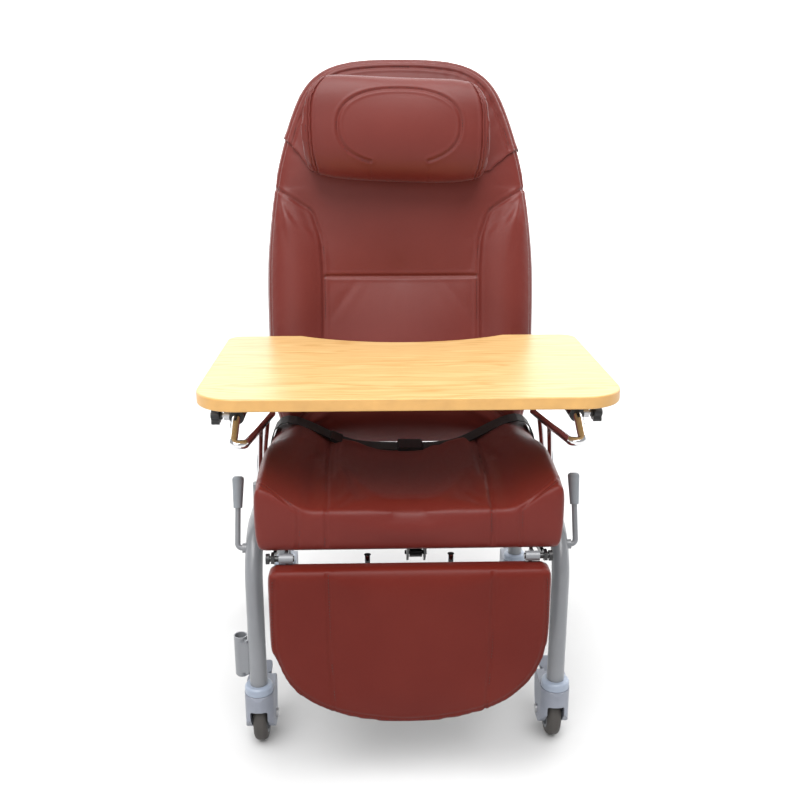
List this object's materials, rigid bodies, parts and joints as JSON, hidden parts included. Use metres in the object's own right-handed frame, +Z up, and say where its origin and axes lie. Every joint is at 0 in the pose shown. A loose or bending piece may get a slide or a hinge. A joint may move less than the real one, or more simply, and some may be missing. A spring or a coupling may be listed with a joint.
{
  "type": "patient recliner chair",
  "caption": "Wheeled patient recliner with tilting back, head pillow, lifting legrest, sliding tray table, armrests, release levers, lap belt and braked castors.",
  "frame": {"origin": "middle of the bounding box, on the floor under the castors", "axes": "+Z up, -Y the way the chair faces, +X to the right seen from the front"},
  "size_m": [0.7, 0.825, 1.2731],
  "materials": {
    "frame_paint": "satin silver-grey powder coat",
    "castor_grey": "blue-grey moulding",
    "steel": "zinc plated",
    "tyre": "dark grey-brown tread",
    "hub": "grey moulding",
    "plywood": "plywood",
    "vinyl": "grained reddish-brown vinyl",
    "chrome": "polished chrome plate",
    "black_plastic": "matt black",
    "arm_pad": "soft grey moulding",
    "oak": "light oak laminate",
    "edge_band": "moulded edge band",
    "grip": "matt grey",
    "black_metal": "black paint",
    "webbing": "woven black webbing"
  },
  "bodies": {
    "base": {"side_frame_left": "frame_paint", "side_frame_right": "frame_paint", "castor_cups": "castor_grey", "cross_tubes": "frame_paint", "seat_board": "plywood", "seat_screws": "steel", "seat_cushion": "vinyl", "base_lugs": "frame_paint", "hinge_caps": "black_plastic", "armrest_tube_left": "chrome", "armrest_tube_right": "chrome", "arm_pads": "arm_pad", "armrest_sockets": "frame_paint", "iv_pole_holder": "frame_paint", "belt_fittings": "black_plastic", "belt_webbing": "webbing"},
    "back": {"back_cushion": "vinyl", "back_board": "plywood", "back_frame": "frame_paint", "push_handle": "frame_paint", "pillow_hood": "vinyl", "head_pillow": "vinyl"},
    "legrest": {"legrest_pad": "vinyl", "legrest_board": "plywood", "legrest_brackets": "frame_paint", "legrest_rods": "chrome"},
    "table": {"table_top": "oak", "table_edge": "edge_band", "table_sleeves": "black_plastic"},
    "clamp_left": {"clamp_knob_left": "black_plastic", "clamp_screw_left": "steel"},
    "lever_left": {"lever_rod_left": "frame_paint", "lever_grip_left": "grip"},
    "clamp_right": {"clamp_knob_right": "black_plastic", "clamp_screw_right": "steel"},
    "lever_right": {"lever_rod_right": "frame_paint", "lever_grip_right": "grip"},
    "spring_cylinder": {"gas_spring_cylinder": "black_metal"},
    "spring_rod": {"gas_spring_rod": "chrome"},
    "castor_front_left": {"castor_fork_front_left": "castor_grey", "castor_axle_front_left": "steel"},
    "wheel_front_left": {"castor_tyre_front_left": "tyre", "castor_hub_front_left": "hub"},
    "pedal_front_left": {"castor_pedal_front_left": "castor_grey"},
    "castor_front_right": {"castor_fork_front_right": "castor_grey", "castor_axle_front_right": "steel"},
    "wheel_front_right": {"castor_tyre_front_right": "tyre", "castor_hub_front_right": "hub"},
    "pedal_front_right": {"castor_pedal_front_right": "castor_grey"},
    "castor_rear_left": {"castor_fork_rear_left": "castor_grey", "castor_axle_rear_left": "steel"},
    "wheel_rear_left": {"castor_tyre_rear_left": "tyre", "castor_hub_rear_left": "hub"},
    "pedal_rear_left": {"castor_pedal_rear_left": "castor_grey"},
    "castor_rear_right": {"castor_fork_rear_right": "castor_grey", "castor_axle_rear_right": "steel"},
    "wheel_rear_right": {"castor_tyre_rear_right": "tyre", "castor_hub_rear_right": "hub"},
    "pedal_rear_right": {"castor_pedal_rear_right": "castor_grey"}
  },
  "joints": [
    {"name": "recline", "type": "hinge", "parent": "base", "child": "back", "pos_m": [0, 0.14711, 0.42707], "axis": [-1, 0, 0], "range_deg": [0, 50]},
    {"name": "legrest_lift", "type": "hinge", "parent": "base", "child": "legrest", "pos_m": [0, -0.37749, 0.428], "axis": [-1, 0, 0], "range_deg": [0, 85]},
    {"name": "table_slide", "type": "slide", "parent": "base", "child": "table", "axis": [0, 1, 0], "range_m": [0, 0.05]},
    {"name": "clamp_turn_left", "type": "hinge", "parent": "table", "child": "clamp_left", "pos_m": [-0.298, -0.25249, 0.645], "axis": [-1, 0, 0], "range_deg": [0, 270]},
    {"name": "lever_pull_left", "type": "hinge", "parent": "base", "child": "lever_left", "pos_m": [-0.278, -0.26809, 0.3976], "axis": [-1, 0, 0], "range_deg": [0, 25], "stiffness_Nm_per_rad": 0.8, "springref_deg": -20.05},
    {"name": "clamp_turn_right", "type": "hinge", "parent": "table", "child": "clamp_right", "pos_m": [0.298, -0.25249, 0.645], "axis": [1, 0, 0], "range_deg": [0, 270]},
    {"name": "lever_pull_right", "type": "hinge", "parent": "base", "child": "lever_right", "pos_m": [0.278, -0.26809, 0.3976], "axis": [-1, 0, 0], "range_deg": [0, 25], "stiffness_Nm_per_rad": 0.8, "springref_deg": -20.05},
    {"name": "spring_swing", "type": "hinge", "parent": "base", "child": "spring_cylinder", "pos_m": [0.018, -0.19949, 0.352], "axis": [1, 0, 0], "range_deg": [0, 2.82]},
    {"name": "spring_stroke", "type": "slide", "parent": "spring_cylinder", "child": "spring_rod", "axis": [0, 0.9974, 0.0721], "range_m": [-0.03983, 0]},
    {"name": "castor_swivel_front_left", "type": "hinge", "parent": "base", "child": "castor_front_left", "pos_m": [-0.278, -0.29449, 0.118], "axis": [0, 0, 1], "continuous": true},
    {"name": "wheel_spin_front_left", "type": "hinge", "parent": "castor_front_left", "child": "wheel_front_left", "pos_m": [-0.278, -0.26449, 0.05], "axis": [1, 0, 0], "continuous": true},
    {"name": "brake_press_front_left", "type": "hinge", "parent": "castor_front_left", "child": "pedal_front_left", "pos_m": [-0.278, -0.23449, 0.102], "axis": [-1, 0, 0], "range_deg": [0, 14]},
    {"name": "castor_swivel_front_right", "type": "hinge", "parent": "base", "child": "castor_front_right", "pos_m": [0.278, -0.29449, 0.118], "axis": [0, 0, 1], "continuous": true},
    {"name": "wheel_spin_front_right", "type": "hinge", "parent": "castor_front_right", "child": "wheel_front_right", "pos_m": [0.278, -0.26449, 0.05], "axis": [1, 0, 0], "continuous": true},
    {"name": "brake_press_front_right", "type": "hinge", "parent": "castor_front_right", "child": "pedal_front_right", "pos_m": [0.278, -0.23449, 0.102], "axis": [-1, 0, 0], "range_deg": [0, 14]},
    {"name": "castor_swivel_rear_left", "type": "hinge", "parent": "base", "child": "castor_rear_left", "pos_m": [-0.278, 0.24551, 0.118], "axis": [0, 0, 1], "continuous": true},
    {"name": "wheel_spin_rear_left", "type": "hinge", "parent": "castor_rear_left", "child": "wheel_rear_left", "pos_m": [-0.278, 0.27551, 0.05], "axis": [1, 0, 0], "continuous": true},
    {"name": "brake_press_rear_left", "type": "hinge", "parent": "castor_rear_left", "child": "pedal_rear_left", "pos_m": [-0.278, 0.30551, 0.102], "axis": [-1, 0, 0], "range_deg": [0, 14]},
    {"name": "castor_swivel_rear_right", "type": "hinge", "parent": "base", "child": "castor_rear_right", "pos_m": [0.278, 0.24551, 0.118], "axis": [0, 0, 1], "continuous": true},
    {"name": "wheel_spin_rear_right", "type": "hinge", "parent": "castor_rear_right", "child": "wheel_rear_right", "pos_m": [0.278, 0.27551, 0.05], "axis": [1, 0, 0], "continuous": true},
    {"name": "brake_press_rear_right", "type": "hinge", "parent": "castor_rear_right", "child": "pedal_rear_right", "pos_m": [0.278, 0.30551, 0.102], "axis": [-1, 0, 0], "range_deg": [0, 14]}
  ],
  "couplings": [
    {"joint": "spring_swing", "follows": "recline", "ratio": 0.055377},
    {"joint": "spring_stroke", "follows": "recline", "m_per_rad": -0.044749}
  ]
}
